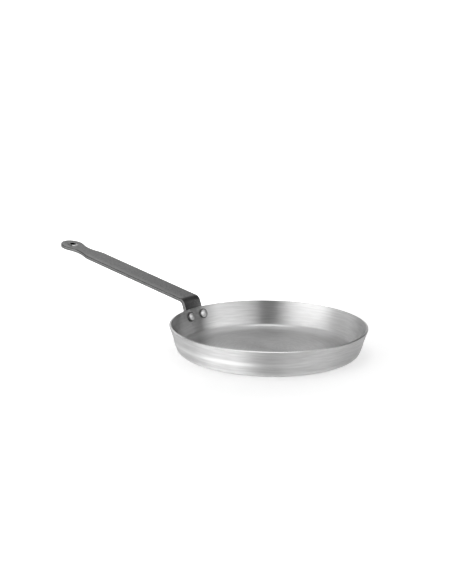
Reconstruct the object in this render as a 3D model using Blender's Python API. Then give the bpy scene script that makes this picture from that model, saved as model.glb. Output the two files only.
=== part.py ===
"""A pancake pan: a shallow steel dish, a flat strap handle and the two rivets that hold it.

Metres, +Z up. The origin is the centre of the flat base, on the surface that the pan
stands on. The handle points along +X and lies in the XZ plane.
"""
import itertools
import math

import bmesh
import bpy
from mathutils import Matrix, Vector

# Dish, pressed from one round blank of sheet steel
RIM_RADIUS = 0.120
PAN_HEIGHT = 0.0333
SHEET = 0.0025
WALL_FLARE = math.radians(18)
INNER_FILLET = 0.0055
RIM_ROUNDING = 0.0009

# Handle, one strap of flat bar that turns outward above the rim
STRAP_WIDTH = 0.030
STRAP_THICKNESS = 0.004
STRAP_RISE = math.radians(10)
STRAP_LENGTH = 0.226
CORNER_ABOVE_RIM = 0.013
BEND_INSIDE = 0.004
EDGE_ROUNDING = 0.0006

# Waisted round end of the handle, with its hanging hole
END_RADIUS = 0.0155
NECK_WIDTH = 0.021
NECK_TO_HOLE = 0.0215
SHOULDER_ARC = 0.033
HOLE_RADIUS = 0.004
COUNTERSINK = 0.0015

# Rivets, each with a domed head on both sides
RIVET_SPACING = 0.023
RIVET_BELOW_RIM = 0.0095
RIVET_SHANK = 0.003
INNER_HEAD_RADIUS = 0.006
INNER_HEAD_HEIGHT = 0.0026
OUTER_HEAD_RADIUS = 0.005
OUTER_HEAD_HEIGHT = 0.0018
HEAD_EDGE = 0.0006

# Foot of the handle, which spreads to carry the rivets and is curved to the wall
FOOT_MARGIN = 0.0025
FOOT_TOE = 0.0055
FOOT_CORNER = 0.008
FOOT_SHOULDER_ARC = 0.0025

# Fits
SEAT_GAP = 0.0003
SHANK_CLEARANCE = 0.0003

# Fineness of the curved surfaces
DISH_SIDES = 96
RIVET_SIDES = 32
ARC_STEPS = 6
TIP_STEPS = 16
EDGE_STEPS = 3
BEND_STEPS = 8
EASING_STEPS = 3
FOOT_STRIPS = 10
SHARP_ANGLE = math.radians(35)
MEETING = 1e-6

# Directions in the plane of radius and height: up the wall, and square out of it
UP_WALL = Vector((math.sin(WALL_FLARE), math.cos(WALL_FLARE)))
OFF_WALL = Vector((math.cos(WALL_FLARE), -math.sin(WALL_FLARE)))

# Outer top corner of the wall, before it is rounded
RIM_CORNER = Vector((RIM_RADIUS, PAN_HEIGHT - SHEET * math.sin(WALL_FLARE)))

# Middle of the rivets on the inside of the wall
RIVET_SEAT = RIM_CORNER - UP_WALL * RIVET_BELOW_RIM - OFF_WALL * SHEET

# Lengths along the handle's blank, from the toe of its foot
RIM_AT = RIVET_BELOW_RIM + INNER_HEAD_RADIUS + FOOT_TOE
RIVETS_AT = RIM_AT - RIVET_BELOW_RIM
BEND_TURN = math.pi / 2 - WALL_FLARE - STRAP_RISE
BEND_OUTSIDE = BEND_INSIDE + STRAP_THICKNESS
BEND_TANGENT = BEND_OUTSIDE * math.tan(BEND_TURN / 2)
BEND_AT = RIM_AT + CORNER_ABOVE_RIM - BEND_TANGENT
STRAP_AT = BEND_AT + BEND_OUTSIDE * BEND_TURN
TIP_AT = STRAP_AT + STRAP_LENGTH - BEND_TANGENT
HOLE_AT = TIP_AT - END_RADIUS
NECK_AT = HOLE_AT - NECK_TO_HOLE
FOOT_WIDTH = RIVET_SPACING + 2 * (INNER_HEAD_RADIUS + FOOT_MARGIN)


def clear_scene():
    for thing in list(bpy.data.objects):
        bpy.data.objects.remove(thing, do_unlink=True)


def linear(hex_colour):
    """An sRGB hex colour as linear red, green, blue and alpha."""
    channels = [int(hex_colour[i:i + 2], 16) / 255 for i in (1, 3, 5)]
    return [c / 12.92 if c <= 0.04045 else ((c + 0.055) / 1.055) ** 2.4 for c in channels] + [1]


def metal(name, hex_colour, roughness):
    material = bpy.data.materials.new(name)
    material.use_nodes = True
    shader = material.node_tree.nodes["Principled BSDF"]
    shader.inputs["Base Color"].default_value = linear(hex_colour)
    shader.inputs["Metallic"].default_value = 1.0
    shader.inputs["Roughness"].default_value = roughness
    return material


def add_object(name, mesh_work, material=None):
    """A named object from a finished bmesh, smooth except across its real edges."""
    bmesh.ops.recalc_face_normals(mesh_work, faces=mesh_work.faces)
    mesh = bpy.data.meshes.new(name)
    mesh_work.to_mesh(mesh)
    mesh_work.free()
    mesh.shade_smooth()
    mesh.set_sharp_from_angle(angle=SHARP_ANGLE)
    made = bpy.data.objects.new(name, mesh)
    bpy.context.scene.collection.objects.link(made)
    if material:
        mesh.materials.append(material)
    return made


def arc(centre, radius, start, end, steps=ARC_STEPS):
    """Points on a circle from one angle to another, both ends included."""
    angles = stations(start, end, steps)
    return [Vector(centre) + radius * Vector((math.cos(a), math.sin(a))) for a in angles]


def joined(*runs):
    """Runs of points as one line, without repeating the points where they meet."""
    line = []
    for point in itertools.chain(*runs):
        if not line or (point - line[-1]).length > MEETING:
            line.append(point)
    return line


def turned(name, profile, sides, material=None):
    """A round piece: (radius, height) points turned once about its own Z axis."""
    work = bmesh.new()
    points = [work.verts.new((radius, 0, height)) for radius, height in profile]
    lines = [work.edges.new(pair) for pair in zip(points, points[1:])]
    bmesh.ops.spin(
        work, geom=points + lines, cent=(0, 0, 0), axis=(0, 0, 1),
        angle=2 * math.pi, steps=sides, use_merge=True,
    )
    bmesh.ops.remove_doubles(work, verts=work.verts, dist=MEETING)
    return add_object(name, work, material)


def cut(target, cutter, label):
    """Cuts a hidden tool's shape out of a piece."""
    cutter.hide_render = True
    cutter.display_type = "WIRE"
    hole = target.modifiers.new(label, "BOOLEAN")
    hole.operation = "DIFFERENCE"
    hole.solver = "EXACT"
    hole.object = cutter


def dish_profile():
    """The dish's section, up its inside from the centre, over the rim and down its outside."""
    outer_fillet = INNER_FILLET + SHEET
    wall_at_fillet = RIM_CORNER.x - (RIM_CORNER.y - outer_fillet) * math.tan(WALL_FLARE)
    fillet_centre = (wall_at_fillet - outer_fillet / math.cos(WALL_FLARE), outer_fillet)
    down = -math.pi / 2
    wall = -WALL_FLARE
    rim_inner = RIM_CORNER - OFF_WALL * (SHEET - RIM_ROUNDING) - UP_WALL * RIM_ROUNDING
    rim_outer = RIM_CORNER - OFF_WALL * RIM_ROUNDING - UP_WALL * RIM_ROUNDING
    rim_top = wall + math.pi / 2
    return (
        [Vector((0, SHEET))]
        + arc(fillet_centre, INNER_FILLET, down, wall)
        + arc(rim_inner, RIM_ROUNDING, wall + math.pi, rim_top, steps=EDGE_STEPS)
        + arc(rim_outer, RIM_ROUNDING, rim_top, wall, steps=EDGE_STEPS)
        + arc(fillet_centre, outer_fillet, wall, down)
        + [Vector((0, 0))]
    )


def rivet_frame(side):
    """Where a rivet crosses the inside of the wall, with the rivet's own +Z into the pan."""
    around = Matrix.Rotation(side * math.asin(RIVET_SPACING / 2 / RIVET_SEAT.x), 4, "Z")
    to_wall = Matrix.Translation((RIVET_SEAT.x, 0, RIVET_SEAT.y))
    lean = Matrix.Rotation(WALL_FLARE - math.pi / 2, 4, "Y")
    return around @ to_wall @ lean


def rivet_profile():
    """A rivet's section, from the crown of its inner head down to the outer one."""
    wall_hollow = INNER_HEAD_RADIUS ** 2 / (2 * RIVET_SEAT.x)
    under_head = SEAT_GAP + wall_hollow
    through = SHEET + SEAT_GAP + STRAP_THICKNESS + SEAT_GAP
    return (
        dome(INNER_HEAD_RADIUS, INNER_HEAD_HEIGHT, under_head)
        + [Vector((RIVET_SHANK, under_head)), Vector((RIVET_SHANK, -through))]
        + [Vector((x, -through - y)) for x, y in reversed(dome(OUTER_HEAD_RADIUS, OUTER_HEAD_HEIGHT, 0))]
    )


def dome(radius, height, base):
    """A low round crown over a thin straight edge, from its centre out and down to its base."""
    rise = height - HEAD_EDGE
    sphere = (radius ** 2 + rise ** 2) / (2 * rise)
    half = math.asin(radius / sphere)
    centre = (0, base + height - sphere)
    return arc(centre, sphere, math.pi / 2, math.pi / 2 - half) + [Vector((radius, base))]


def sidestep(start, from_width, to_width, radius):
    """An edge that moves inward through two equal arcs as it runs along the blank."""
    turn = math.acos(max(0, 1 - (from_width - to_width) / (2 * radius)))
    length = 2 * radius * math.sin(turn)
    quarter = math.pi / 2
    return joined(
        arc((start, from_width - radius), radius, quarter, quarter - turn),
        arc((start + length, to_width + radius), radius, -quarter - turn, -quarter),
    )


def blank_edge():
    """One long edge of the handle's flat blank, from its toe to its tip, as (along, across)."""
    foot = FOOT_WIDTH / 2
    strap = STRAP_WIDTH / 2
    neck = NECK_WIDTH / 2
    shoulder_turn = math.acos(1 - (strap - neck) / (2 * SHOULDER_ARC))
    shoulder_at = NECK_AT - 2 * SHOULDER_ARC * math.sin(shoulder_turn)
    neck_arc = (NECK_TO_HOLE ** 2 + neck ** 2 - END_RADIUS ** 2) / (2 * (END_RADIUS - neck))
    neck_centre = Vector((NECK_AT, neck + neck_arc))
    to_end = Vector((HOLE_AT, 0)) - neck_centre
    facing = math.atan2(to_end.y, to_end.x)
    return joined(
        arc((FOOT_CORNER, foot - FOOT_CORNER), FOOT_CORNER, math.pi, math.pi / 2),
        sidestep(RIVETS_AT + INNER_HEAD_RADIUS, foot, strap, FOOT_SHOULDER_ARC),
        sidestep(shoulder_at, strap, neck, SHOULDER_ARC),
        arc(neck_centre, neck_arc, -math.pi / 2, facing),
        arc((HOLE_AT, 0), END_RADIUS, facing + math.pi, 0, steps=TIP_STEPS),
    )


def pressed(point):
    """Where a point of the flat blank (along, across, depth) lies on the finished handle."""
    along, across, depth = point
    start = RIM_CORNER + OFF_WALL * SEAT_GAP - UP_WALL * RIM_AT
    if along <= BEND_AT:
        place = start + UP_WALL * along + OFF_WALL * depth
    else:
        turned_by = min((along - BEND_AT) / BEND_OUTSIDE, BEND_TURN)
        centre = start + UP_WALL * BEND_AT + OFF_WALL * BEND_OUTSIDE
        facing = math.pi - WALL_FLARE - turned_by
        place = centre + (BEND_OUTSIDE - depth) * Vector((math.cos(facing), math.sin(facing)))
        past_bend = max(along - STRAP_AT, 0)
        place += past_bend * Vector((math.cos(STRAP_RISE), math.sin(STRAP_RISE)))
    flat = min(max((along - RIM_AT) / (STRAP_AT - RIM_AT), 0), 1)
    flat = flat * flat * (3 - 2 * flat)
    wall_radius = (start + UP_WALL * min(along, RIM_AT)).x
    angle = across / wall_radius
    round_x = place.x * math.cos(angle)
    round_y = place.x * math.sin(angle)
    return Vector((round_x + (place.x - round_x) * flat, round_y + (across - round_y) * flat, place.y))


def stations(start, end, steps):
    """Places at equal steps from one end of a stretch to the other, both included."""
    return [start + (end - start) * i / steps for i in range(steps + 1)]


def slice_blank(work, places, axis):
    """Cuts the blank's faces at each place along or across it, so that they can bend there."""
    direction = Vector((1, 0, 0)) if axis == "along" else Vector((0, 1, 0))
    for station in places:
        everything = work.verts[:] + work.edges[:] + work.faces[:]
        bmesh.ops.bisect_plane(
            work, geom=everything, dist=MEETING, plane_co=direction * station, plane_no=direction,
        )


def make_handle(material):
    """The handle: a flat blank with rounded edges, pressed into shape and then drilled."""
    near = blank_edge()
    outline = near + [Vector((p.x, -p.y)) for p in reversed(near[:-1])]
    work = bmesh.new()
    corners = [work.verts.new((p.x, p.y, 0)) for p in outline]
    sheet = work.faces.new(corners)
    grown = bmesh.ops.extrude_face_region(work, geom=[sheet])
    lifted = [v for v in grown["geom"] if isinstance(v, bmesh.types.BMVert)]
    bmesh.ops.translate(work, verts=lifted, vec=(0, 0, STRAP_THICKNESS))
    bmesh.ops.recalc_face_normals(work, faces=work.faces)
    rims = [e for e in work.edges if abs(e.verts[0].co.z - e.verts[1].co.z) < STRAP_THICKNESS / 2]
    bmesh.ops.bevel(
        work, geom=rims, offset=EDGE_ROUNDING, segments=EDGE_STEPS, profile=0.5, affect="EDGES",
    )
    slice_blank(work, stations(-FOOT_WIDTH / 2, FOOT_WIDTH / 2, FOOT_STRIPS)[1:-1], "across")
    slice_blank(work, stations(RIM_AT, BEND_AT, EASING_STEPS), "along")
    slice_blank(work, stations(BEND_AT, STRAP_AT, BEND_STEPS)[1:], "along")
    for corner in work.verts:
        corner.co = pressed(corner.co)
    bmesh.ops.triangulate(work, faces=work.faces)
    return add_object("handle", work, material)


def hanging_hole():
    """The tool that drills and countersinks the hanging hole from the strap's top face."""
    mouth = HOLE_RADIUS + COUNTERSINK
    clear = STRAP_THICKNESS
    profile = [
        (0, clear),
        (mouth + clear, clear),
        (HOLE_RADIUS, -COUNTERSINK),
        (HOLE_RADIUS, -STRAP_THICKNESS - clear),
        (0, -STRAP_THICKNESS - clear),
    ]
    tool = turned("hanging_hole_tool", profile, RIVET_SIDES)
    tool.location = pressed(Vector((HOLE_AT, 0, 0)))
    tool.rotation_euler = (0, -STRAP_RISE, 0)
    return tool


def rivet_hole(side_name, frame):
    """The tool that drills the wall and the foot together for one rivet."""
    radius = RIVET_SHANK + SHANK_CLEARANCE
    reach = SHEET + STRAP_THICKNESS + INNER_HEAD_RADIUS
    profile = [(0, reach), (radius, reach), (radius, -2 * reach), (0, -2 * reach)]
    tool = turned("rivet_hole_tool_" + side_name, profile, RIVET_SIDES)
    tool.matrix_world = frame
    return tool


def main():
    clear_scene()
    brushed = metal("brushed_steel", "#B4B4B4", 0.32)
    dark = metal("dark_steel", "#6C6C6C", 0.42)
    bright = metal("rivet_steel", "#C8C8C8", 0.28)
    centre = bpy.data.objects.new("pan_centre", None)
    bpy.context.scene.collection.objects.link(centre)
    dish = turned("pan_body", dish_profile(), DISH_SIDES, brushed)
    handle = make_handle(dark)
    cut(handle, hanging_hole(), "hanging hole")
    pieces = [dish, handle]
    for side_name, side in (("left", 1), ("right", -1)):
        frame = rivet_frame(side)
        tool = rivet_hole(side_name, frame)
        cut(dish, tool, "rivet hole " + side_name)
        cut(handle, tool, "rivet hole " + side_name)
        rivet = turned("rivet_" + side_name, rivet_profile(), RIVET_SIDES, bright)
        rivet.matrix_world = frame
        pieces.append(rivet)
    for piece in pieces:
        piece.parent = centre


main()
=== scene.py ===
"""The looks of a pancake pan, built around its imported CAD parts.

Metres, +Z up, in the frame of the CAD parts: the origin is the centre of the flat base, on
the surface that the pan stands on, and the handle points along +X.
"""
import itertools
import math

import bmesh
import bpy
from mathutils import Matrix, Vector


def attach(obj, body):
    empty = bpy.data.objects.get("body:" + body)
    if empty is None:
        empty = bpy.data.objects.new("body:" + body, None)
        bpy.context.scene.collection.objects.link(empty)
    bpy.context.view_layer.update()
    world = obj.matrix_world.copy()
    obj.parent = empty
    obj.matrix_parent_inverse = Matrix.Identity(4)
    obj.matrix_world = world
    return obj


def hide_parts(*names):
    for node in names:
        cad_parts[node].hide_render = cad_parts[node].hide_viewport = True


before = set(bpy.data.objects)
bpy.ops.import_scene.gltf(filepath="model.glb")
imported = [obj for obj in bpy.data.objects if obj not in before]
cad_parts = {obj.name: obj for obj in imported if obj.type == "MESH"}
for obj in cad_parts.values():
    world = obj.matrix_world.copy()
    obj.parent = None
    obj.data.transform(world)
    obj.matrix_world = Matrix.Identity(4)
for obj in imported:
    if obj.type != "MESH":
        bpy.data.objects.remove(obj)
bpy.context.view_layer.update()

# Dish, pressed from one round blank of sheet steel
RIM_RADIUS = 0.11985
PAN_HEIGHT = 0.0333
SHEET = 0.0025
WALL_FLARE = math.radians(18)
INNER_FILLET = 0.0055
RIM_ROUNDING = 0.0004

# Heights between which the inside and the outside of the wall are straight
INNER_WALL_FOOT = 0.0125
OUTER_WALL_FOOT = 0.0065
WALL_TOP = 0.0305

# Low ridge that the press leaves round the outside of the wall, below a faint hollow
RIDGE_TOP = 0.0195
RIDGE_CREST = 0.0155
RIDGE_FOOT = 0.0115
RIDGE_STEP = 0.0005
WALL_HOLLOW = 0.00022

# Where the ridge has a painted highlight: up and down from its crest, and from none to full towards one
# side
RIDGE_HIGHLIGHT_REACH = 0.0042
RIDGE_HIGHLIGHT_TOWARDS = math.radians(39.8)
RIDGE_HIGHLIGHT_FROM = -0.045
RIDGE_HIGHLIGHT_TO = 0.025

# Where the corner between the base and the wall has a painted highlight: by radius, then by height
CORNER_HIGHLIGHT_FROM = 0.084
CORNER_HIGHLIGHT_TO = 0.102
CORNER_HIGHLIGHT_TOP = 0.0065
CORNER_HIGHLIGHT_FOOT = 0.003

# Handle, one strap of flat bar that turns outward above the rim
STRAP_WIDTH = 0.030
STRAP_THICKNESS = 0.004
STRAP_RISE = math.radians(10)
STRAP_LENGTH = 0.2259
CORNER_ABOVE_RIM = 0.013
BEND_INSIDE = 0.004

# Edges of the strap, rolled over by the shear on the top and nearly sharp below
TOP_EDGE_WIDTH = 0.0007
TOP_EDGE_DROP = 0.0008
LOW_EDGE_WIDTH = 0.0003
LOW_EDGE_DROP = 0.0003
EDGE_SUPPORT = 0.0004

# Where the strap is painted lighter along its near edge, as a highlight: from none to full across it,
# towards +Y
EDGE_HIGHLIGHT_FROM = 0.0055
EDGE_HIGHLIGHT_TO = 0.0125

# Waisted round end of the handle, with its hanging hole
END_RADIUS = 0.0155
NECK_WIDTH = 0.021
NECK_TO_HOLE = 0.0215
SHOULDER_ARC = 0.033
HOLE_RADIUS = 0.0034

# How far along the strap the short faces round the hole reach
HOLE_FACES = 0.0072

# Low lip that the punch throws up round the hole, as radius and height above the strap
LIP_PROFILE = (
    (0.0039, 0.00060),
    (0.0045, 0.00070),
    (0.0054, 0.00055),
    (0.0064, 0.00015),
    (0.0069, -0.0001),
)
LIP_REACH = LIP_PROFILE[-1][0]

# Rivets, each with a domed head on both sides
RIVET_SPACING = 0.023
RIVET_BELOW_RIM = 0.0095
RIVET_SHANK = 0.003
INNER_HEAD_RADIUS = 0.006
INNER_HEAD_HEIGHT = 0.0026
OUTER_HEAD_RADIUS = 0.005
OUTER_HEAD_HEIGHT = 0.0018
HEAD_EDGE = 0.0009

# Foot of the handle, which spreads to carry the rivets and is curved to the wall
FOOT_MARGIN = 0.0025
FOOT_TOE = 0.0055
FOOT_CORNER = 0.008
FOOT_SHOULDER_ARC = 0.0025

# Play between the dish, the handle and the rivets
SEAT_GAP = 0.0003

# Fineness of the curved surfaces
DISH_SIDES = 320
FLOOR_STEPS = 14
WALL_STEPS = 24
FILLET_POINTS = 10
RIVET_SIDES = 64
RIVET_FILLET_POINTS = 4
HOLE_SIDES = 64
ARC_STEPS = 14
TIP_STEPS = 40
EDGE_STEPS = 5
BEND_STEPS = 20
EASING_STEPS = 6
FOOT_STRIPS = 24
SHARP_ANGLE = math.radians(35)

# Points closer together than this are one
MEETING = 1e-6

# Steels of the dish, of the handle and of a rivet, in the order of their slots
INSIDE, LEVEL, OUTSIDE, RIM = range(4)
BROAD, SHADED_ROLLED_CORNER, SHEARED_SIDE, SHADED_BORE, HIGHLIGHTED_LIP, SHADED_FOOT_AND_BEND = range(6)
CROWN, SHADED_SEAM = range(2)

# Where one steel ends and the next starts, by a face's place or by the cosine of its lean
LEVEL_DISH = math.cos(math.radians(50))
RIM_FACES_ABOVE = 0.0316
FLAT_STRAP = math.cos(math.radians(25))
ROLLED_STRAP = math.cos(math.radians(87))
SHADED_BORE_REACH = 0.0040
LIP_HIGHLIGHT_TOWARDS = Vector((-1, 0))
LIP_HIGHLIGHT_SPREAD = math.cos(math.radians(52))
CROWN_SPREAD = math.cos(math.radians(25))

# Streaks of the brush, by the distance between them and by how often they break off round the dish
FINE_SPACING = 0.0009
FINE_BREAKS = 9.0
FINE_DEPTH = 0.00006
BROAD_SPACING = 0.0020
BROAD_BREAKS = 5.0
BROAD_DEPTH = 0.00004
STREAK_DETAIL = 1.5

# Other patterns, by how many of their spots go into a metre
CLOUDS = 22.0
ROLL_SCALE = 160.0
DENTS = 2500.0
DENTS_DRAWN = 480.0
DIE_MARKS = 900.0
SEAM_SHADE_PATCHES = 1000.0
DENT_DEPTH = 0.00005

# Between which heights of its noise a pattern goes from its darker to its lighter shade
SOFT_RANGE = (0.3, 0.7)
HARD_RANGE = (0.35, 0.65)

# Share of the clouds in the sheet's shade, and of the dents in the handle's
CLOUD_SHARE = 0.3
DENT_SHARE = 0.75

# Roughness: what a streak adds to the sheet's or takes off it, and that of the other steels
STREAK_ROUGHENS = 0.03
HANDLE_ROUGHNESS = (0.30, 0.38)
RIVET_ROUGHNESS = (0.42, 0.50)
SEAM_ROUGHNESS = 0.5

# Colours of the painted highlights on the dish and along the strap's near edge, and those of the studio
PAINTED_HIGHLIGHT_STEEL = "#F4F4F4"
EDGE_HIGHLIGHT_STEEL = "#989898"
PAPER = "#E6E6E6"
WHITE = "#FFFFFF"
ROOM_GREY = "#626262"

# Directions in the plane of radius and height: up the wall, and square out of it
UP_WALL = Vector((math.sin(WALL_FLARE), math.cos(WALL_FLARE)))
OFF_WALL = Vector((math.cos(WALL_FLARE), -math.sin(WALL_FLARE)))

# Directions on the handle's flat blank
ALONG = Vector((1, 0, 0))
ACROSS = Vector((0, 1, 0))

# Outer top corner of the wall, before it is rounded
RIM_CORNER = Vector((RIM_RADIUS, PAN_HEIGHT - SHEET * math.sin(WALL_FLARE)))

# Middle of the rivets on the inside of the wall
RIVET_SEAT = RIM_CORNER - UP_WALL * RIVET_BELOW_RIM - OFF_WALL * SHEET

# Lengths along the handle's blank, from the toe of its foot
RIM_AT = RIVET_BELOW_RIM + INNER_HEAD_RADIUS + FOOT_TOE
RIVETS_AT = RIM_AT - RIVET_BELOW_RIM
BEND_TURN = math.pi / 2 - WALL_FLARE - STRAP_RISE
BEND_OUTSIDE = BEND_INSIDE + STRAP_THICKNESS
BEND_TANGENT = BEND_OUTSIDE * math.tan(BEND_TURN / 2)
BEND_AT = RIM_AT + CORNER_ABOVE_RIM - BEND_TANGENT
STRAP_AT = BEND_AT + BEND_OUTSIDE * BEND_TURN
TIP_AT = STRAP_AT + STRAP_LENGTH - BEND_TANGENT
HOLE_AT = TIP_AT - END_RADIUS
NECK_AT = HOLE_AT - NECK_TO_HOLE
FOOT_WIDTH = RIVET_SPACING + 2 * (INNER_HEAD_RADIUS + FOOT_MARGIN)

# Camera, measured on the photograph, with its frame and its focal length in pixels
FRAME_WIDTH = 452
FRAME_HEIGHT = 584
FOCAL_PIXELS = 1700
BASE_CENTRE_PIXEL = (268.13, 351.12)
CAMERA_DISTANCE = 2.0542
CAMERA_PITCH = math.radians(14.145)
CAMERA_ROLL = math.radians(0.838)
HANDLE_FROM_RIGHT = math.radians(140.2)
SENSOR_MM = 36
NEAREST_SEEN = 0.05
FURTHEST_SEEN = 50

# Studio: a white paper floor and softboxes in a dim grey room
FLOOR_HALF = 9.0
FLOOR_BELOW = 0.0002
LAMP_DISTANCE = 1.5
SOFTBOX_FADE = 0.4

# How far the paper is lifted to white: least in the soft shadow in front of the pan, and wholly far
# off or under the handle. A mirror is shown half of the lift.
SHADOW_CENTRE = (-0.052, 0.088, 0)
SHADOW_LIFT = 0.20
LIFT_STARTS = 0.03
LIFT_FULL = 0.60
HANDLE_LIFT_STARTS = 0.09
HANDLE_LIFT_FULL = 0.15
MIRRORED_LIFT = 0.50


def linear(hex_colour):
    """An sRGB hex colour as linear red, green, blue and alpha."""
    channels = [int(hex_colour[i:i + 2], 16) / 255 for i in (1, 3, 5)]
    return [c / 12.92 if c <= 0.04045 else ((c + 0.055) / 1.055) ** 2.4 for c in channels] + [1]


def add(tree, kind, inputs=None, **settings):
    """Adds a node, with its settings by name and each input as a value or the output linked to it."""
    node = tree.nodes.new(kind)
    for name, value in settings.items():
        setattr(node, name, value)
    for key, value in (inputs or {}).items():
        if isinstance(value, bpy.types.NodeSocket):
            tree.links.new(value, node.inputs[key])
        else:
            node.inputs[key].default_value = value
    return node


def new_object(name, mesh):
    made = bpy.data.objects.new(name, mesh)
    bpy.context.scene.collection.objects.link(made)
    return made


def new_mesh(name, work):
    """A mesh from what was made in bmesh, which is then let go."""
    mesh = bpy.data.meshes.new(name)
    work.to_mesh(mesh)
    work.free()
    return mesh


def make_plain(piece):
    """Swaps a piece's live modifiers for the mesh that they make."""
    graph = bpy.context.evaluated_depsgraph_get()
    mesh = bpy.data.meshes.new_from_object(piece.evaluated_get(graph))
    piece.modifiers.clear()
    piece.data = mesh


def face_outwards(mesh):
    work = bmesh.new()
    work.from_mesh(mesh)
    bmesh.ops.recalc_face_normals(work, faces=work.faces)
    work.to_mesh(mesh)
    work.free()


def share(value, start, end):
    """How far a value has gone from a start to an end, between 0 and 1."""
    return min(max((value - start) / (end - start), 0), 1)


def eased(value, start, end):
    """The same share, but slow to set off and slow to arrive."""
    gone = share(value, start, end)
    return gone ** 2 * (3 - 2 * gone)


def stations(start, end, steps):
    """Places at equal steps from one end of a stretch to the other, both included."""
    return [start + (end - start) * i / steps for i in range(steps + 1)]


def arc(centre, radius, start, end, steps=ARC_STEPS):
    """Points on a circle from one angle to another, both ends included."""
    angles = stations(start, end, steps)
    return [Vector(centre) + radius * Vector((math.cos(a), math.sin(a))) for a in angles]


def joined(*runs):
    """Runs of points as one line, without repeating the points where they meet."""
    line = []
    for point in itertools.chain(*runs):
        if not line or (point - line[-1]).length > MEETING:
            line.append(point)
    return line


def turning_tree():
    """Geometry nodes that round a section's corners, spin it about Z and set it in its place."""
    tree = bpy.data.node_groups.new("turned_piece", "GeometryNodeTree")
    face = tree.interface
    face.new_socket("Section", in_out="INPUT", socket_type="NodeSocketGeometry")
    for name, kind in (
        ("Sides", "NodeSocketInt"),
        ("Fillet Points", "NodeSocketInt"),
        ("Spin Radius", "NodeSocketFloat"),
        ("Seat", "NodeSocketVector"),
        ("Lean", "NodeSocketVector"),
        ("Turn", "NodeSocketVector"),
        ("Material", "NodeSocketMaterial"),
    ):
        face.new_socket(name, in_out="INPUT", socket_type=kind)
    face.new_socket("Piece", in_out="OUTPUT", socket_type="NodeSocketGeometry")
    given = add(tree, "NodeGroupInput").outputs
    line = add(tree, "GeometryNodeMeshToCurve", {"Mesh": given["Section"]})
    fillet = add(tree, "GeometryNodeInputNamedAttribute", {"Name": "fillet"}, data_type="FLOAT")
    rounded = add(tree, "GeometryNodeFilletCurve", {
        "Curve": line.outputs["Curve"],
        "Count": given["Fillet Points"],
        "Radius": fillet.outputs["Attribute"],
        "Limit Radius": True,
    }, mode="POLY")
    # The circle that carries the section has a radius, so the section is first drawn in by as much
    inward = add(tree, "ShaderNodeMath", {0: given["Spin Radius"], 1: -1.0}, operation="MULTIPLY")
    offset = add(tree, "ShaderNodeCombineXYZ", {"X": inward.outputs[0]})
    drawn_in = add(tree, "GeometryNodeSetPosition", {
        "Geometry": rounded.outputs["Curve"], "Offset": offset.outputs[0],
    })
    circle = add(tree, "GeometryNodeCurvePrimitiveCircle", {
        "Resolution": given["Sides"], "Radius": given["Spin Radius"],
    })
    spun = add(tree, "GeometryNodeCurveToMesh", {
        "Curve": circle.outputs["Curve"], "Profile Curve": drawn_in.outputs["Geometry"],
    })
    closed = add(tree, "GeometryNodeMergeByDistance", {
        "Geometry": spun.outputs["Mesh"], "Distance": MEETING,
    })
    smooth = add(tree, "GeometryNodeSetShadeSmooth", {"Geometry": closed.outputs["Geometry"]})
    seated = add(tree, "GeometryNodeTransform", {
        "Geometry": smooth.outputs["Geometry"], "Translation": given["Seat"], "Rotation": given["Lean"],
    })
    placed = add(tree, "GeometryNodeTransform", {
        "Geometry": seated.outputs["Geometry"], "Rotation": given["Turn"],
    })
    real = add(tree, "GeometryNodeRealizeInstances", {"Geometry": placed.outputs["Geometry"]})
    finished = add(tree, "GeometryNodeSetMaterial", {
        "Geometry": real.outputs["Geometry"], "Material": given["Material"],
    })
    add(tree, "NodeGroupOutput", {"Piece": finished.outputs["Geometry"]})
    return tree


def section_mesh(name, corners):
    """A section as a line of corners (radius, height, fillet), for the turning tree to spin."""
    mesh = bpy.data.meshes.new(name)
    # A circle carries its section with Y pointing down
    points = [(radius, -height, 0) for radius, height, fillet in corners]
    mesh.from_pydata(points, [(i, i + 1) for i in range(len(points) - 1)], [])
    fillets = mesh.attributes.new("fillet", "FLOAT", "POINT")
    fillets.data.foreach_set("value", [fillet for radius, height, fillet in corners])
    return mesh


def turned(name, corners, tree, **sizes):
    """A round piece that the turning tree makes from a section."""
    piece = new_object(name, section_mesh(name + "_section", corners))
    work = piece.modifiers.new("turned", "NODES")
    work.node_group = tree
    for item in tree.interface.items_tree:
        key = item.name.lower().replace(" ", "_")
        if item.in_out == "INPUT" and key in sizes:
            work[item.identifier] = sizes[key]
    make_plain(piece)
    face_outwards(piece.data)
    return piece


def on_wall(height, proud=0.0, depth=0.0):
    """The point of the wall's outside at a height, moved out of it or into the sheet."""
    radius = RIM_CORNER.x - (RIM_CORNER.y - height) * math.tan(WALL_FLARE)
    place = Vector((radius, height)) + OFF_WALL * (proud - depth)
    return place.x, place.y


def proud_of_wall(height):
    """How far the outside stands out of a straight wall: a faint hollow, then the pressed ridge."""
    hollow = WALL_HOLLOW * share(height, WALL_TOP, RIDGE_TOP)
    ridge = RIDGE_STEP * eased(height, RIDGE_TOP, RIDGE_FOOT)
    return (ridge - hollow) * share(height, OUTER_WALL_FOOT, RIDGE_FOOT)


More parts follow.
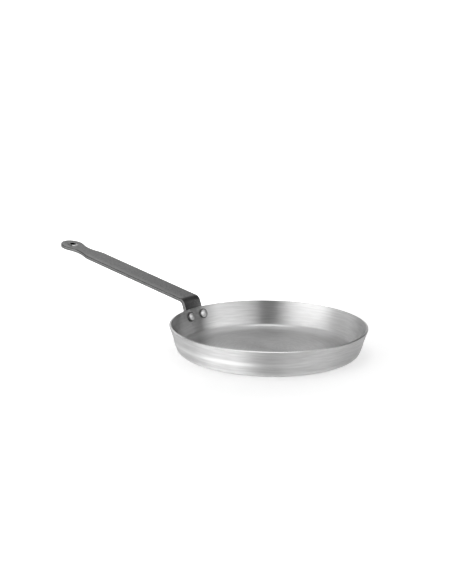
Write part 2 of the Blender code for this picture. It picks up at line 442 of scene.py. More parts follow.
def dish_corners():
    """The dish's section: over its floor, up its inside, over the rim, down and back under its base."""
    outer_fillet = INNER_FILLET + SHEET
    outer_corner = on_wall(0)[0]
    inner_corner = outer_corner + SHEET * math.tan(WALL_FLARE) - SHEET / math.cos(WALL_FLARE)
    rim_inner = RIM_CORNER - OFF_WALL * SHEET
    # Both levels are drawn in rings that stop clear of their fillets
    floor_end = inner_corner - INNER_FILLET - SHEET
    base_end = outer_corner - outer_fillet - SHEET
    up_inside = stations(INNER_WALL_FOOT, WALL_TOP, WALL_STEPS)
    down_outside = stations(WALL_TOP, OUTER_WALL_FOOT, WALL_STEPS)
    return (
        [(radius, SHEET, 0) for radius in stations(0, floor_end, FLOOR_STEPS)]
        + [(inner_corner, SHEET, INNER_FILLET)]
        + [(*on_wall(height, depth=SHEET), 0) for height in up_inside]
        + [(*rim_inner, RIM_ROUNDING), (*RIM_CORNER, RIM_ROUNDING)]
        + [(*on_wall(height, proud_of_wall(height)), 0) for height in down_outside]
        + [(outer_corner, 0, outer_fillet)]
        + [(radius, 0, 0) for radius in stations(base_end, 0, FLOOR_STEPS)]
    )


def dish_steel_on(face):
    """Which of the dish's steels a face has."""
    middle = face.center
    is_level = face.normal.z > LEVEL_DISH
    if is_level and middle.z > RIM_FACES_ABOVE:
        return RIM
    if is_level or middle.z < MEETING:
        return LEVEL
    facing_out = face.normal.x * middle.x + face.normal.y * middle.y > 0
    return OUTSIDE if facing_out else INSIDE


def head_corners(radius, height, base=0.0):
    """A rivet head's section: a low crown over a thin straight edge, from its centre to its base."""
    rise = height - HEAD_EDGE
    sphere = (radius ** 2 + rise ** 2) / (2 * rise)
    half = math.asin(radius / sphere)
    crown = arc((0, base + height - sphere), sphere, math.pi / 2, math.pi / 2 - half)
    edge_rounding = HEAD_EDGE / 2
    seam_rounding = HEAD_EDGE / 4
    return (
        [(*point, 0) for point in crown[:-1]]
        + [(*crown[-1], edge_rounding), (radius, base, seam_rounding)]
    )


def rivet_corners():
    """A rivet's section, from the crown of its inner head down to the crown of its outer one."""
    wall_hollow = INNER_HEAD_RADIUS ** 2 / (2 * RIVET_SEAT.x)
    under_head = SEAT_GAP + wall_hollow
    through = SHEET + SEAT_GAP + STRAP_THICKNESS + SEAT_GAP
    outer_head = head_corners(OUTER_HEAD_RADIUS, OUTER_HEAD_HEIGHT)
    return (
        head_corners(INNER_HEAD_RADIUS, INNER_HEAD_HEIGHT, under_head)
        + [(RIVET_SHANK, under_head, 0), (RIVET_SHANK, -through, 0)]
        + [(radius, -through - height, fillet) for radius, height, fillet in reversed(outer_head)]
    )


def sidestep(start, from_width, to_width, radius):
    """An edge that moves inward through two equal arcs as it runs along the blank."""
    turn = math.acos(max(0, 1 - (from_width - to_width) / (2 * radius)))
    length = 2 * radius * math.sin(turn)
    quarter = math.pi / 2
    return joined(
        arc((start, from_width - radius), radius, quarter, quarter - turn),
        arc((start + length, to_width + radius), radius, -quarter - turn, -quarter),
    )


def blank_edge():
    """One long edge of the handle's flat blank, from its toe to its tip, as (along, across)."""
    foot = FOOT_WIDTH / 2
    strap = STRAP_WIDTH / 2
    neck = NECK_WIDTH / 2
    shoulder_turn = math.acos(1 - (strap - neck) / (2 * SHOULDER_ARC))
    shoulder_at = NECK_AT - 2 * SHOULDER_ARC * math.sin(shoulder_turn)
    neck_arc = (NECK_TO_HOLE ** 2 + neck ** 2 - END_RADIUS ** 2) / (2 * (END_RADIUS - neck))
    neck_centre = Vector((NECK_AT, neck + neck_arc))
    to_end = Vector((HOLE_AT, 0)) - neck_centre
    facing = math.atan2(to_end.y, to_end.x)
    return joined(
        arc((FOOT_CORNER, foot - FOOT_CORNER), FOOT_CORNER, math.pi, math.pi / 2),
        sidestep(RIVETS_AT + INNER_HEAD_RADIUS, foot, strap, FOOT_SHOULDER_ARC),
        sidestep(shoulder_at, strap, neck, SHOULDER_ARC),
        arc(neck_centre, neck_arc, -math.pi / 2, facing),
        arc((HOLE_AT, 0), END_RADIUS, facing + math.pi, 0, steps=TIP_STEPS),
    )


def inset_outline(outline, inset):
    """The blank's closed outline, moved inward by a distance."""
    moved = []
    neighbours = zip(outline[-1:] + outline[:-1], outline, outline[1:] + outline[:1])
    for before, point, after in neighbours:
        onward = (after - before).normalized()
        moved.append(point + inset * Vector((onward.y, -onward.x)))
    return moved


def edge_rings():
    """The strap's edge from its top face round to its underside, as (inset, depth) steps."""
    quarter = stations(0, math.pi / 2, EDGE_STEPS)
    top = [(TOP_EDGE_WIDTH * (1 - math.sin(a)), TOP_EDGE_DROP * (1 - math.cos(a))) for a in quarter]
    low = [
        (LOW_EDGE_WIDTH * (1 - math.cos(a)), STRAP_THICKNESS - LOW_EDGE_DROP * (1 - math.sin(a)))
        for a in quarter
    ]
    inmost_top = (TOP_EDGE_WIDTH + EDGE_SUPPORT, 0)
    inmost_low = (LOW_EDGE_WIDTH + EDGE_SUPPORT, STRAP_THICKNESS)
    return [inmost_top] + top + low + [inmost_low]


def slice_blank(work, direction, places):
    """Cuts the blank's faces at each place along a direction, so that they can bend there."""
    for place in places:
        everything = work.verts[:] + work.edges[:] + work.faces[:]
        bmesh.ops.bisect_plane(
            work, geom=everything, dist=MEETING, plane_co=direction * place, plane_no=direction,
        )


def handle_blank():
    """The handle's flat blank with its rolled edges, sliced where it will bend."""
    near = blank_edge()
    outline = near + [Vector((p.x, -p.y)) for p in reversed(near[:-1])]
    work = bmesh.new()
    rings = []
    for inset, depth in edge_rings():
        points = inset_outline(outline, inset)
        rings.append([work.verts.new((p.x, p.y, depth)) for p in points])
    for upper, lower in zip(rings, rings[1:]):
        for i in range(len(outline)):
            work.faces.new((upper[i - 1], upper[i], lower[i], lower[i - 1]))
    work.faces.new(rings[0])
    work.faces.new(rings[-1])
    slice_blank(work, ACROSS, stations(-FOOT_WIDTH / 2, FOOT_WIDTH / 2, FOOT_STRIPS)[1:-1])
    slice_blank(work, ALONG, stations(0, RIM_AT, EASING_STEPS)[1:])
    slice_blank(work, ALONG, stations(RIM_AT, BEND_AT, EASING_STEPS)[1:])
    slice_blank(work, ALONG, stations(BEND_AT, STRAP_AT, BEND_STEPS)[1:])
    # Short faces round the hole keep its lip's shading off the long flat
    slice_blank(work, ALONG, [HOLE_AT - HOLE_FACES, HOLE_AT + HOLE_FACES])
    return work


def pressed(point):
    """Where a point of the flat blank (along, across, depth) lies on the finished handle."""
    along, across, depth = point
    toe = RIM_CORNER + OFF_WALL * SEAT_GAP - UP_WALL * RIM_AT
    if along <= BEND_AT:
        place = toe + UP_WALL * along + OFF_WALL * depth
    else:
        turned_by = min((along - BEND_AT) / BEND_OUTSIDE, BEND_TURN)
        centre = toe + UP_WALL * BEND_AT + OFF_WALL * BEND_OUTSIDE
        facing = math.pi - WALL_FLARE - turned_by
        place = centre + (BEND_OUTSIDE - depth) * Vector((math.cos(facing), math.sin(facing)))
        past_bend = max(along - STRAP_AT, 0)
        place += past_bend * Vector((math.cos(STRAP_RISE), math.sin(STRAP_RISE)))
    # The foot is curved to the wall, and the curve dies out between the rim and the strap
    flat = eased(along, RIM_AT, STRAP_AT)
    wall_radius = (toe + UP_WALL * min(along, RIM_AT)).x
    angle = across / wall_radius
    round_x = place.x * math.cos(angle)
    round_y = place.x * math.sin(angle)
    finished_x = round_x + (place.x - round_x) * flat
    finished_y = round_y + (across - round_y) * flat
    return Vector((finished_x, finished_y, place.y))


def turned_tool(name, radii_and_heights):
    """A round solid about its own Z axis, for cutting out or adding."""
    work = bmesh.new()
    points = [work.verts.new((radius, 0, height)) for radius, height in radii_and_heights]
    lines = [work.edges.new(pair) for pair in zip(points, points[1:])]
    bmesh.ops.spin(
        work, geom=points + lines, cent=(0, 0, 0), axis=(0, 0, 1),
        angle=2 * math.pi, steps=HOLE_SIDES, use_merge=True,
    )
    bmesh.ops.remove_doubles(work, verts=work.verts, dist=MEETING)
    bmesh.ops.recalc_face_normals(work, faces=work.faces)
    return new_object(name, new_mesh(name, work))


def combine(handle, tool, operation):
    """Cuts a tool's shape out of the handle at the hole, or adds it, and puts the tool away."""
    tool.location = pressed(Vector((HOLE_AT, 0, 0)))
    tool.rotation_euler = (0, -STRAP_RISE, 0)
    work = handle.modifiers.new("combined", "BOOLEAN")
    work.operation = operation
    work.solver = "EXACT"
    work.object = tool
    make_plain(handle)
    bpy.data.objects.remove(tool, do_unlink=True)


def handle_steel_on(face):
    """Which of the handle's steels a face has."""
    # The foot and bend get a darker copy of the steel, as painted shade
    if face.center.x < pressed(Vector((STRAP_AT, 0, 0))).x:
        return SHADED_FOOT_AND_BEND
    out_of_top = Vector((-math.sin(STRAP_RISE), 0, math.cos(STRAP_RISE)))
    from_hole = face.center - pressed(Vector((HOLE_AT, 0, 0)))
    off_centre = Vector((from_hole.x / math.cos(STRAP_RISE), from_hole.y))
    # Inside the hole the steel is painted dark, as shade
    if off_centre.length < SHADED_BORE_REACH:
        return SHADED_BORE
    # A crescent of the lip on one side is painted bright, as a highlight
    on_lip = off_centre.length < LIP_REACH and from_hole.dot(out_of_top) > MEETING
    if on_lip and off_centre.normalized().dot(LIP_HIGHLIGHT_TOWARDS) > LIP_HIGHLIGHT_SPREAD:
        return HIGHLIGHTED_LIP
    off_top = face.normal.dot(out_of_top)
    if abs(off_top) > FLAT_STRAP:
        return BROAD
    # The rolled corner is painted darker, as shade
    return SHADED_ROLLED_CORNER if off_top > ROLLED_STRAP else SHEARED_SIDE


def strap_handle(steels):
    """The handle: the sliced blank pressed into shape, with its punched hanging hole."""
    work = handle_blank()
    for corner in work.verts:
        corner.co = pressed(corner.co)
    bmesh.ops.recalc_face_normals(work, faces=work.faces)
    handle = new_object("strap_handle", new_mesh("strap_handle", work))
    half_deep = -STRAP_THICKNESS / 2
    combine(handle, turned_tool("hole_lip", [
        (0, LIP_PROFILE[0][1]), *LIP_PROFILE, (LIP_REACH, half_deep), (0, half_deep),
    ]), "UNION")
    # The punch stands clear of the strap by its thickness, above and below
    above = STRAP_THICKNESS
    below = -2 * STRAP_THICKNESS
    combine(handle, turned_tool("hanging_hole", [
        (0, above), (HOLE_RADIUS, above), (HOLE_RADIUS, below), (0, below),
    ]), "DIFFERENCE")
    for steel in steels:
        handle.data.materials.append(steel)
    for face in handle.data.polygons:
        face.material_index = handle_steel_on(face)
    handle.data.shade_smooth()
    handle.data.set_sharp_from_angle(angle=SHARP_ANGLE)
    return handle


def new_material(name):
    """An empty material and its node tree."""
    material = bpy.data.materials.new(name)
    material.use_nodes = True
    material.node_tree.nodes.clear()
    return material, material.node_tree


def graded(tree, pattern, pattern_range, shades):
    """A colour that goes from a darker to a lighter shade as a pattern rises through a range."""
    height = add(tree, "ShaderNodeMapRange", {
        "Value": pattern, "From Min": pattern_range[0], "From Max": pattern_range[1],
    })
    return add(tree, "ShaderNodeMix", {
        0: height.outputs["Result"], 6: linear(shades[0]), 7: linear(shades[1]),
    }, data_type="RGBA").outputs[2]


def brush_streaks(tree, around, radius, height, spacing, breaks):
    """Noise drawn out into rings about the pan's axis, both on the level and up the wall."""
    turn = add(tree, "ShaderNodeVectorMath", {0: around, "Scale": breaks}, operation="SCALE")
    turned_parts = add(tree, "ShaderNodeSeparateXYZ", {0: turn.outputs[0]}).outputs
    up = add(tree, "ShaderNodeMath", {0: height, 1: spacing}, operation="DIVIDE")
    out = add(tree, "ShaderNodeMath", {0: radius, 1: spacing}, operation="DIVIDE")
    where = add(tree, "ShaderNodeCombineXYZ", {
        "X": turned_parts["X"], "Y": turned_parts["Y"], "Z": up.outputs[0],
    })
    return add(tree, "ShaderNodeTexNoise", {
        "Vector": where.outputs[0], "W": out.outputs[0], "Scale": 1.0, "Detail": STREAK_DETAIL,
    }, noise_dimensions="4D").outputs["Fac"]


def highlight_strength(tree, place, radius, height, painted_highlight, corner_highlight):
    """How strong the painted highlight is, on the pressed ridge or on the corner under the wall."""
    # Painted highlight along the ridge's crest, from none to full towards one side
    above_crest = add(tree, "ShaderNodeMath", {0: height, 1: RIDGE_CREST}, operation="SUBTRACT")
    off_crest = add(tree, "ShaderNodeMath", {0: above_crest.outputs[0]}, operation="ABSOLUTE")
    on_ridge = add(tree, "ShaderNodeMapRange", {
        "Value": off_crest.outputs[0], "From Min": RIDGE_HIGHLIGHT_REACH, "From Max": 0.0, "To Max": painted_highlight,
    }, interpolation_type="SMOOTHSTEP")
    sideways = add(tree, "ShaderNodeVectorMath", {
        0: place, 1: (math.cos(RIDGE_HIGHLIGHT_TOWARDS), math.sin(RIDGE_HIGHLIGHT_TOWARDS), 0),
    }, operation="DOT_PRODUCT")
    on_side = add(tree, "ShaderNodeMapRange", {
        "Value": sideways.outputs["Value"], "From Min": RIDGE_HIGHLIGHT_FROM, "From Max": RIDGE_HIGHLIGHT_TO,
    })
    ridge_mask = add(tree, "ShaderNodeMath", {
        0: on_ridge.outputs["Result"], 1: on_side.outputs["Result"],
    }, operation="MULTIPLY")
    # Painted highlight on the corner between the base and the wall
    near_wall = add(tree, "ShaderNodeMapRange", {
        "Value": radius, "From Min": CORNER_HIGHLIGHT_FROM, "From Max": CORNER_HIGHLIGHT_TO, "To Max": corner_highlight,
    }, interpolation_type="SMOOTHSTEP")
    near_base = add(tree, "ShaderNodeMapRange", {
        "Value": height, "From Min": CORNER_HIGHLIGHT_TOP, "From Max": CORNER_HIGHLIGHT_FOOT,
    })
    corner_mask = add(tree, "ShaderNodeMath", {
        0: near_wall.outputs["Result"], 1: near_base.outputs["Result"],
    }, operation="MULTIPLY")
    return add(tree, "ShaderNodeMath", {
        0: ridge_mask.outputs[0], 1: corner_mask.outputs[0],
    }, operation="MAXIMUM").outputs[0]


def circle_brushed_steel(
    name, roughness, anisotropy, painted_highlight=0.0, corner_highlight=0.0, shades=("#BEBEBE", "#D2D2D2"),
):
    """Steel sheet brushed while it turned, so each reflection is pulled out square to the strokes.

    Painted highlight is how far the pressed ridge is painted bright on one side, as a highlight.
    Corner highlight is how far the corner between the base and the wall is painted bright, as a
    highlight.
    """
    material, tree = new_material(name)
    place = add(tree, "ShaderNodeTexCoord").outputs["Object"]
    parts = add(tree, "ShaderNodeSeparateXYZ", {0: place}).outputs
    height = parts["Z"]
    level = add(tree, "ShaderNodeCombineXYZ", {"X": parts["X"], "Y": parts["Y"]}).outputs[0]
    radius = add(tree, "ShaderNodeVectorMath", {0: level}, operation="LENGTH").outputs["Value"]
    around = add(tree, "ShaderNodeVectorMath", {0: level}, operation="NORMALIZE").outputs[0]
    # Grit scratches are under 0.1 mm apart: drawn 0.9 mm apart to show, and 2 mm for their groups
    fine = brush_streaks(tree, around, radius, height, FINE_SPACING, FINE_BREAKS)
    broad = brush_streaks(tree, around, radius, height, BROAD_SPACING, BROAD_BREAKS)
    # Faint clouds of about 45 mm, from the mill
    clouds = add(tree, "ShaderNodeTexNoise", {"Vector": place, "Scale": CLOUDS, "Detail": 3.0})
    shade = add(tree, "ShaderNodeMix", {
        0: CLOUD_SHARE, 2: broad, 3: clouds.outputs["Fac"],
    }, data_type="FLOAT")
    highlight_mask = highlight_strength(tree, place, radius, height, painted_highlight, corner_highlight)
    # The painted highlights are mixed in over the sheet's own shades
    finish = add(tree, "ShaderNodeMix", {
        0: highlight_mask, 6: graded(tree, shade.outputs[0], HARD_RANGE, shades), 7: linear(PAINTED_HIGHLIGHT_STEEL),
    }, data_type="RGBA")
    streaked = add(tree, "ShaderNodeMapRange", {
        "Value": broad, "From Min": SOFT_RANGE[0], "From Max": SOFT_RANGE[1],
        "To Min": roughness - STREAK_ROUGHENS, "To Max": roughness + STREAK_ROUGHENS,
    })
    fine_bump = add(tree, "ShaderNodeBump", {
        "Height": fine, "Strength": 0.4, "Distance": FINE_DEPTH,
    })
    bump = add(tree, "ShaderNodeBump", {
        "Height": broad, "Strength": 0.3, "Distance": BROAD_DEPTH, "Normal": fine_bump.outputs[0],
    })
    # A quarter turn from the tangent sets the stretch of the reflections square to the strokes
    tangent = add(tree, "ShaderNodeTangent", direction_type="RADIAL", axis="Z")
    shader = add(tree, "ShaderNodeBsdfPrincipled", {
        "Base Color": finish.outputs[2],
        "Metallic": 1.0,
        "Roughness": streaked.outputs["Result"],
        "Anisotropic": anisotropy,
        "Anisotropic Rotation": 0.25,
        "Tangent": tangent.outputs[0],
        "Normal": bump.outputs[0],
    })
    add(tree, "ShaderNodeOutputMaterial", {"Surface": shader.outputs[0]})
    return material


def dark_rolled_steel(name, shades, edge_highlight=0.0):
    """Hot rolled bar, tumbled and oiled: a dark dull grey with a faint mottle and soft grain.

    Edge highlight is how far it is painted lighter along its near edge, as a highlight.
    """
    material, tree = new_material(name)
    place = add(tree, "ShaderNodeTexCoord").outputs["Object"]
    across = add(tree, "ShaderNodeSeparateXYZ", {0: place}).outputs["Y"]
    # Painted highlight along the strap's near edge
    painted_highlight = add(tree, "ShaderNodeMapRange", {
        "Value": across, "From Min": EDGE_HIGHLIGHT_FROM, "From Max": EDGE_HIGHLIGHT_TO, "To Max": edge_highlight,
    }, interpolation_type="SMOOTHSTEP")
    # Scale left by the rolls, in patches of about 6 mm
    mottle = add(tree, "ShaderNodeTexNoise", {
        "Vector": place, "Scale": ROLL_SCALE, "Detail": 4.0,
    }).outputs["Fac"]
    # Dents of the tumbling stones, 0.4 mm in the bump, and drawn 2 mm in the colour to show
    grain = add(tree, "ShaderNodeTexNoise", {"Vector": place, "Scale": DENTS, "Detail": 2.0})
    dents = add(tree, "ShaderNodeTexNoise", {"Vector": place, "Scale": DENTS_DRAWN, "Detail": 3.0})
    shade = add(tree, "ShaderNodeMix", {
        0: DENT_SHARE, 2: mottle, 3: dents.outputs["Fac"],
    }, data_type="FLOAT")
    finish = add(tree, "ShaderNodeMix", {
        0: painted_highlight.outputs["Result"],
        6: graded(tree, shade.outputs[0], SOFT_RANGE, shades),
        7: linear(EDGE_HIGHLIGHT_STEEL),
    }, data_type="RGBA")
    rough = add(tree, "ShaderNodeMapRange", {
        "Value": mottle, "From Min": SOFT_RANGE[0], "From Max": SOFT_RANGE[1],
        "To Min": HANDLE_ROUGHNESS[0], "To Max": HANDLE_ROUGHNESS[1],
    })
    bump = add(tree, "ShaderNodeBump", {
        "Height": grain.outputs["Fac"], "Strength": 0.3, "Distance": DENT_DEPTH,
    })
    shader = add(tree, "ShaderNodeBsdfPrincipled", {
        "Base Color": finish.outputs[2],
        "Metallic": 1.0,
        "Roughness": rough.outputs["Result"],
        "Normal": bump.outputs[0],
    })
    add(tree, "ShaderNodeOutputMaterial", {"Surface": shader.outputs[0]})
    return material


def bright_rivet_steel():
    """Cold headed steel wire: brighter and smoother than the sheet, with faint die marks."""
    material, tree = new_material("bright_rivet_steel")
    place = add(tree, "ShaderNodeTexCoord").outputs["Object"]
    # Marks of the heading die, of about 1 mm
    marks = add(tree, "ShaderNodeTexNoise", {
        "Vector": place, "Scale": DIE_MARKS, "Detail": 3.0,
    }).outputs["Fac"]
    rough = add(tree, "ShaderNodeMapRange", {
        "Value": marks, "From Min": SOFT_RANGE[0], "From Max": SOFT_RANGE[1],
        "To Min": RIVET_ROUGHNESS[0], "To Max": RIVET_ROUGHNESS[1],
    })
    shader = add(tree, "ShaderNodeBsdfPrincipled", {
        "Base Color": graded(tree, marks, SOFT_RANGE, ("#BCBCBC", "#D0D0D0")),
        "Metallic": 1.0,
        "Roughness": rough.outputs["Result"],
    })
    add(tree, "ShaderNodeOutputMaterial", {"Surface": shader.outputs[0]})
    return material


def dark_seam_steel():
    """The side of a rivet's head: dull and dark, as painted shade in the seam round the head."""
    material, tree = new_material("dark_seam_steel")
    place = add(tree, "ShaderNodeTexCoord").outputs["Object"]
    # Patches of about 1 mm in the painted shade
    dirt = add(tree, "ShaderNodeTexNoise", {"Vector": place, "Scale": SEAM_SHADE_PATCHES, "Detail": 2.0})
    shader = add(tree, "ShaderNodeBsdfPrincipled", {
        "Base Color": graded(tree, dirt.outputs["Fac"], HARD_RANGE, ("#525252", "#7A7A7A")),
        "Metallic": 1.0,
        "Roughness": SEAM_ROUGHNESS,
    })
    add(tree, "ShaderNodeOutputMaterial", {"Surface": shader.outputs[0]})
    return material


def white_studio_paper():
    """Matt white paper: an eye or a mirror sees it lifted, a little by the pan and to white far off."""
    material, tree = new_material("white_studio_paper")
    lit = add(tree, "ShaderNodeBsdfDiffuse", {"Color": linear(PAPER)})
    ray = add(tree, "ShaderNodeLightPath").outputs
    mirrored = add(tree, "ShaderNodeMath", {
        0: ray["Is Glossy Ray"], 1: ray["Is Transmission Ray"],
    }, operation="MAXIMUM")
    place = add(tree, "ShaderNodeTexCoord").outputs["Object"]
    far_off = add(tree, "ShaderNodeVectorMath", {0: place, 1: SHADOW_CENTRE}, operation="DISTANCE")
    rise = add(tree, "ShaderNodeMapRange", {
        "Value": far_off.outputs["Value"], "From Min": LIFT_STARTS, "From Max": LIFT_FULL,
        "To Min": SHADOW_LIFT, "To Max": 1.0,
    })
    along = add(tree, "ShaderNodeSeparateXYZ", {0: place}).outputs["X"]
    under_handle = add(tree, "ShaderNodeMapRange", {
        "Value": along, "From Min": HANDLE_LIFT_STARTS, "From Max": HANDLE_LIFT_FULL,
    })
    to_eye = add(tree, "ShaderNodeMath", {
        0: rise.outputs["Result"], 1: under_handle.outputs["Result"],
    }, operation="MAXIMUM")
    eye_lift = add(tree, "ShaderNodeMath", {
        0: to_eye.outputs[0], 1: ray["Is Camera Ray"],
    }, operation="MULTIPLY")
    in_mirror = add(tree, "ShaderNodeMath", {
        0: rise.outputs["Result"], 1: MIRRORED_LIFT,
    }, operation="MULTIPLY")
    lift = add(tree, "ShaderNodeMath", {
        0: mirrored.outputs[0], 1: in_mirror.outputs[0], 2: eye_lift.outputs[0],
    }, operation="MULTIPLY_ADD")
    glow = add(tree, "ShaderNodeEmission", {"Color": linear(WHITE), "Strength": lift.outputs[0]})
    both = add(tree, "ShaderNodeAddShader", {0: lit.outputs[0], 1: glow.outputs[0]})
    add(tree, "ShaderNodeOutputMaterial", {"Surface": both.outputs[0]})
    return material


def camera_axes():
    """The camera's right, up and forward directions in the frame of the parts."""
    pitch_up = Vector((0, math.sin(CAMERA_PITCH), math.cos(CAMERA_PITCH)))
    level = Vector((1, 0, 0))
    right = level * math.cos(CAMERA_ROLL) + pitch_up * math.sin(CAMERA_ROLL)
    up = pitch_up * math.cos(CAMERA_ROLL) - level * math.sin(CAMERA_ROLL)
    forward = Vector((0, math.cos(CAMERA_PITCH), -math.sin(CAMERA_PITCH)))
    to_parts = Matrix.Rotation(-HANDLE_FROM_RIGHT, 3, "Z")
    return to_parts @ right, to_parts @ up, to_parts @ forward


def add_camera():
    """The photograph's camera, placed so that the base's centre falls where it does in the frame."""
    right, up, forward = camera_axes()
    sideways = (BASE_CENTRE_PIXEL[0] - FRAME_WIDTH / 2) / FOCAL_PIXELS
    downward = (BASE_CENTRE_PIXEL[1] - FRAME_HEIGHT / 2) / FOCAL_PIXELS
    place = CAMERA_DISTANCE * (-forward - sideways * right + downward * up)
    data = bpy.data.cameras.new("camera")
    data.sensor_width = SENSOR_MM
    data.lens = FOCAL_PIXELS / FRAME_HEIGHT * SENSOR_MM
    data.clip_start = NEAREST_SEEN
    data.clip_end = FURTHEST_SEEN
    camera = new_object("camera", data)
    turn = Matrix((right, up, -forward)).transposed()
    camera.matrix_world = Matrix.Translation(place) @ turn.to_4x4()
    bpy.context.scene.camera = camera


def studio_direction(azimuth, elevation):
    """A direction from the pan: degrees round to the right from the camera's side, and up."""
    round_by = math.radians(azimuth) - math.pi / 2 - HANDLE_FROM_RIGHT
    up = math.radians(elevation)
    return Vector((
        math.cos(round_by) * math.cos(up),
        math.sin(round_by) * math.cos(up),
        math.sin(up),
    ))


def fade_to_sides(data, fade_share, fade_power):
    """Makes a lamp fade towards its left and right ends, as the cloth of a softbox does."""
    data.use_nodes = True
    tree = data.node_tree
    tree.nodes.clear()
    # Places on a lamp run from 0 at one end to 1 at the other
    middle = 0.5
    on_lamp = add(tree, "ShaderNodeNewGeometry").outputs["Parametric"]
    across = add(tree, "ShaderNodeSeparateXYZ", {0: on_lamp}).outputs["X"]
    from_middle = add(tree, "ShaderNodeMath", {0: across, 1: middle}, operation="SUBTRACT")
    off_middle = add(tree, "ShaderNodeMath", {0: from_middle.outputs[0]}, operation="ABSOLUTE")
    from_end = add(tree, "ShaderNodeMapRange", {
        "Value": off_middle.outputs[0], "From Min": middle, "From Max": middle - fade_share,
    })
    fade = add(tree, "ShaderNodeMath", {
        0: from_end.outputs["Result"], 1: fade_power,
    }, operation="POWER")
    glow = add(tree, "ShaderNodeEmission", {"Strength": fade.outputs[0]})
    add(tree, "ShaderNodeOutputLight", {"Surface": glow.outputs[0]})


def add_softbox(name, towards, size, brightness, fade_share=SOFTBOX_FADE, fade_power=1.0):
    """A rectangular lamp that faces the pan from an azimuth and an elevation, in degrees.

    Its size is its width and height, and its brightness is what a mirror would show of its middle.
    """
    width, height = size
    data = bpy.data.lights.new(name, "AREA")
    data.shape = "RECTANGLE"
    data.size = width
    data.size_y = height
    data.energy = brightness * math.pi * width * height
    fade_to_sides(data, fade_share, fade_power)
    lamp = new_object(name, data)
    direction = studio_direction(*towards)
    lamp.location = direction * LAMP_DISTANCE
    lamp.rotation_mode = "QUATERNION"
    lamp.rotation_quaternion = (-direction).to_track_quat("-Z", "Y")
    lamp.visible_camera = False


def add_softboxes():
    """The lamps that the photograph's reflections show, from the left round to the back and the top."""
    add_softbox("left_strip", (-52, 7.5), (2.7, 0.4), brightness=7.6, fade_share=0.32)
    add_softbox("left_softbox", (-61, 30), (3.0, 0.7), brightness=1.7, fade_power=0.5)
    add_softbox("back_left_fill", (-112, 15), (2.1, 0.7), brightness=1.28)
    add_softbox("back_left_softbox", (-140, 55), (1.4, 1.0), brightness=0.2)
    add_softbox("right_softbox", (53, 28), (2.6, 0.6), brightness=3.5, fade_power=0.5)
    add_softbox("right_top_softbox", (92, 52), (1.4, 0.6), brightness=0.5)
    add_softbox("back_strip", (180, 12), (2.4, 0.35), brightness=0.6)
    add_softbox("back_softbox", (-168, 26), (1.6, 0.35), brightness=0.85)
    add_softbox("back_top_softbox", (-176, 58), (1.4, 0.5), brightness=1.25)
    add_softbox("top_softbox", (0, 90), (1.2, 1.2), brightness=1.68)


def add_room():
    """The dim grey room round the floor and the lamps."""
    world = bpy.data.worlds.new("room")
    bpy.context.scene.world = world
    world.use_nodes = True
    tree = world.node_tree
    tree.nodes.clear()
    grey = add(tree, "ShaderNodeBackground", {"Color": linear(ROOM_GREY), "Strength": 1.0})
    add(tree, "ShaderNodeOutputWorld", {"Surface": grey.outputs[0]})


def add_floor():
    """The sheet of paper, a hair below the base."""
    work = bmesh.new()
    bmesh.ops.create_grid(work, x_segments=1, y_segments=1, size=FLOOR_HALF)
    bmesh.ops.translate(work, verts=work.verts, vec=(0, 0, -FLOOR_BELOW))
    floor = new_object("floor", new_mesh("floor", work))
    floor.data.materials.append(white_studio_paper())


def add_dish(tree):
    """The dish in its four brushed steels."""
    dish = turned(
        "brushed_dish", dish_corners(), tree,
        sides=DISH_SIDES, fillet_points=FILLET_POINTS, spin_radius=SHEET,
        material=circle_brushed_steel(
            "circle_brushed_steel_inside", roughness=0.38, anisotropy=1.0,
        ),
    )
    for steel in (
        # The floor's steel is a darker copy of the sheet's, as painted shade
        circle_brushed_steel(
            "circle_brushed_steel_floor", roughness=0.38, anisotropy=0.6,
            corner_highlight=0.6, shades=("#B6B6B6", "#CACACA"),
        ),
        circle_brushed_steel(
            "circle_brushed_steel_outside", roughness=0.45, anisotropy=0.93,
            painted_highlight=0.5, corner_highlight=0.5,
        ),
        circle_brushed_steel(
            "ground_steel_rim", roughness=0.30, anisotropy=0.6, shades=("#E6E6E6", "#F2F2F2"),
        ),
    ):
        dish.data.materials.append(steel)
    for face in dish.data.polygons:
        face.material_index = dish_steel_on(face)
    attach(dish, "root")
    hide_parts("pan_body")


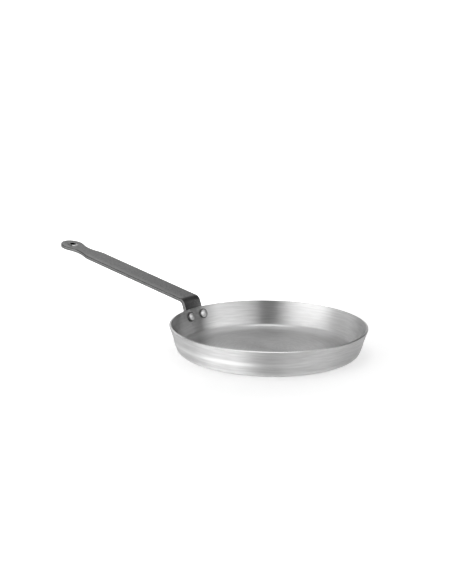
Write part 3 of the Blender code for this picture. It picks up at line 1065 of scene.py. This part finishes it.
def add_handle():
    """The handle in its six steels: painted shade on the rolled corner, in the bore and on the foot and
    bend, a painted highlight on the lip.
    """
    handle = strap_handle([
        dark_rolled_steel("dark_rolled_steel", ("#606060", "#8C8C8C"), edge_highlight=0.6),
        # Painted shade on the rolled corner
        dark_rolled_steel("dark_rolled_corner_steel", ("#3E3E3E", "#4C4C4C")),
        dark_rolled_steel("dark_sheared_steel", ("#5E5E5E", "#707070")),
        # Painted shade inside the hole
        dark_rolled_steel("oiled_bore_steel", ("#181818", "#202020")),
        # Painted highlight on one side of the hole's lip
        dark_rolled_steel("worn_lip_steel", ("#CCCCCC", "#E0E0E0")),
        # Painted shade on the foot and bend
        dark_rolled_steel("dark_bent_steel", ("#565656", "#6C6C6C")),
    ])
    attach(handle, "root")
    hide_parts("handle")


def add_rivets(tree):
    """The two rivets, square through the wall on each side of the handle's middle."""
    crown_steel = bright_rivet_steel()
    seam_shade_steel = dark_seam_steel()
    half_turn = math.asin(RIVET_SPACING / 2 / RIVET_SEAT.x)
    for side_name, side in (("left", 1), ("right", -1)):
        rivet = turned(
            "domed_rivet_" + side_name, rivet_corners(), tree,
            sides=RIVET_SIDES, fillet_points=RIVET_FILLET_POINTS, spin_radius=RIVET_SHANK,
            material=crown_steel,
            seat=(RIVET_SEAT.x, 0, RIVET_SEAT.y),
            lean=(0, WALL_FLARE - math.pi / 2, 0),
            turn=(0, 0, side * half_turn),
        )
        rivet.data.materials.append(seam_shade_steel)
        axis = Matrix.Rotation(side * half_turn, 3, "Z") @ Vector((OFF_WALL.x, 0, OFF_WALL.y))
        for face in rivet.data.polygons:
            # The side of each head is painted dark, as shade in the seam
            on_crown = abs(face.normal.dot(axis)) >= CROWN_SPREAD
            face.material_index = CROWN if on_crown else SHADED_SEAM
        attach(rivet, "root")
        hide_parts("rivet_" + side_name)


def main():
    add_camera()
    tree = turning_tree()
    add_dish(tree)
    add_handle()
    add_rivets(tree)
    add_floor()
    add_room()
    add_softboxes()


main()

scene = bpy.context.scene
scene.view_settings.view_transform = "Standard"
